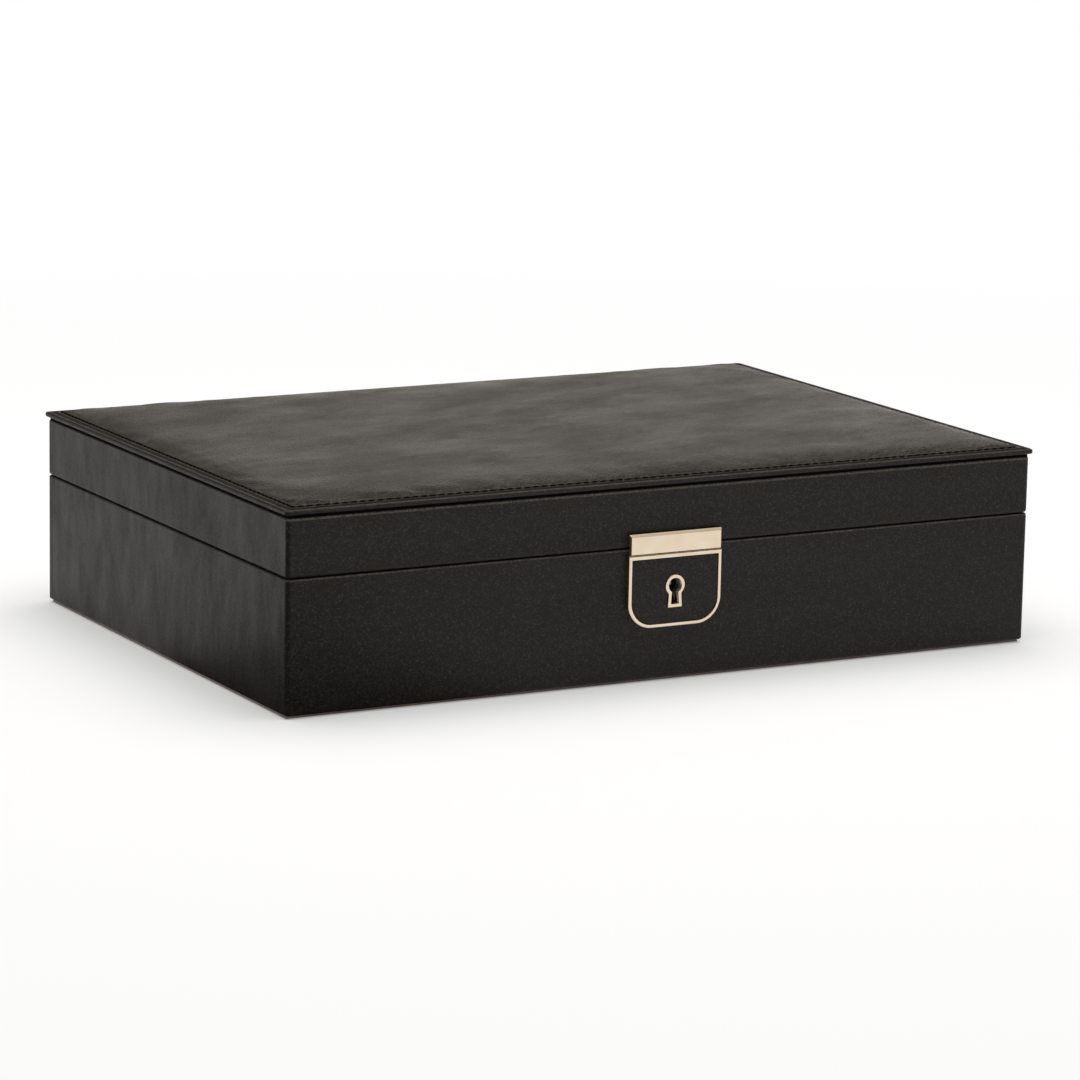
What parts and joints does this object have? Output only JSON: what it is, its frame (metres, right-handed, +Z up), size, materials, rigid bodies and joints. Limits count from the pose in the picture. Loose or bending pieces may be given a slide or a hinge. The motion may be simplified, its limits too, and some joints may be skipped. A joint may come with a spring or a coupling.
{
  "type": "cufflink box with drawer",
  "caption": "Low leather-covered cufflink box with a padded hinged lid, a front lock with keyhole, a divided tray with padded rolls, and a drawer in its right end.",
  "frame": {"origin": "centre of the base pad's underside, on the surface that the box stands on", "axes": "+X along the front towards the drawer end, +Y from the lock front to the hinged back, +Z up"},
  "size_m": [0.3154, 0.2206, 0.0762],
  "materials": {
    "pad_suede": "napped synthetic suede",
    "wall_board": "raw fibreboard",
    "black_leather": "pebble-grained leather, low sheen",
    "padded_leather": "soft grained leather over foam, low sheen",
    "lining_suede": "napped synthetic suede",
    "drawer_wood": "lacquered beech",
    "gold_brass": "polished pale gold plating",
    "lock_steel": "zinc-plated sheet steel",
    "spacer_card": "black card"
  },
  "bodies": {
    "case": {"base_pad": "pad_suede", "case_base_board": "wall_board", "case_leather": "black_leather", "case_front_wall": "wall_board", "case_back_wall": "wall_board", "case_left_wall": "wall_board", "case_right_wall": "wall_board", "tray_deck": "wall_board", "tray_lining": "lining_suede", "main_divider": "lining_suede", "watch_divider": "lining_suede", "cross_divider_1": "lining_suede", "cross_divider_2": "lining_suede", "cross_divider_3": "lining_suede", "long_divider_1": "lining_suede", "long_divider_2": "lining_suede", "long_divider_3": "lining_suede", "cushion_rolls": "lining_suede", "drawer_guide_near": "drawer_wood", "drawer_guide_far": "drawer_wood", "drawer_stop": "drawer_wood", "lock_plate": "gold_brass", "lock_inlay": "black_leather", "keyhole_escutcheon": "gold_brass", "lock_case": "lock_steel", "lock_cover": "lock_steel", "key_post": "lock_steel", "lock_spring": "lock_steel", "case_screws": "gold_brass", "hinge_pins": "gold_brass", "case_hinge_leaf_left": "gold_brass", "case_hinge_leaf_right": "gold_brass"},
    "lid": {"lid_leather": "black_leather", "lid_front_wall": "wall_board", "lid_back_wall": "wall_board", "lid_left_wall": "wall_board", "lid_right_wall": "wall_board", "lid_top_board": "wall_board", "lid_spacer": "spacer_card", "lid_lip_board": "black_leather", "lid_pad_cover": "padded_leather", "lid_cushion": "lining_suede", "lid_wall_lining": "lining_suede", "hasp_bar": "gold_brass", "staple_plate": "gold_brass", "staple_eyes": "gold_brass", "lid_screws": "gold_brass", "lid_hinge_leaf_left": "gold_brass", "lid_hinge_leaf_right": "gold_brass"},
    "drawer": {"drawer_front": "drawer_wood", "drawer_front_leather": "black_leather", "drawer_side_near": "drawer_wood", "drawer_side_far": "drawer_wood", "drawer_back": "drawer_wood", "drawer_bottom": "drawer_wood", "drawer_lining": "lining_suede", "drawer_divider_1": "lining_suede", "drawer_divider_2": "lining_suede", "drawer_knob": "gold_brass"},
    "lock_bolt": {"lock_bolt": "lock_steel"}
  },
  "joints": [
    {"name": "lid_hinge", "type": "hinge", "parent": "case", "child": "lid", "pos_m": [0, 0.10875, 0.0495], "axis": [-1, 0, 0], "range_deg": [0, 95]},
    {"name": "drawer_slide", "type": "slide", "parent": "case", "child": "drawer", "axis": [1, 0, 0], "range_m": [0, 0.225]},
    {"name": "bolt_slide", "type": "slide", "parent": "case", "child": "lock_bolt", "axis": [1, 0, 0], "range_m": [0, 0.0034]}
  ]
}
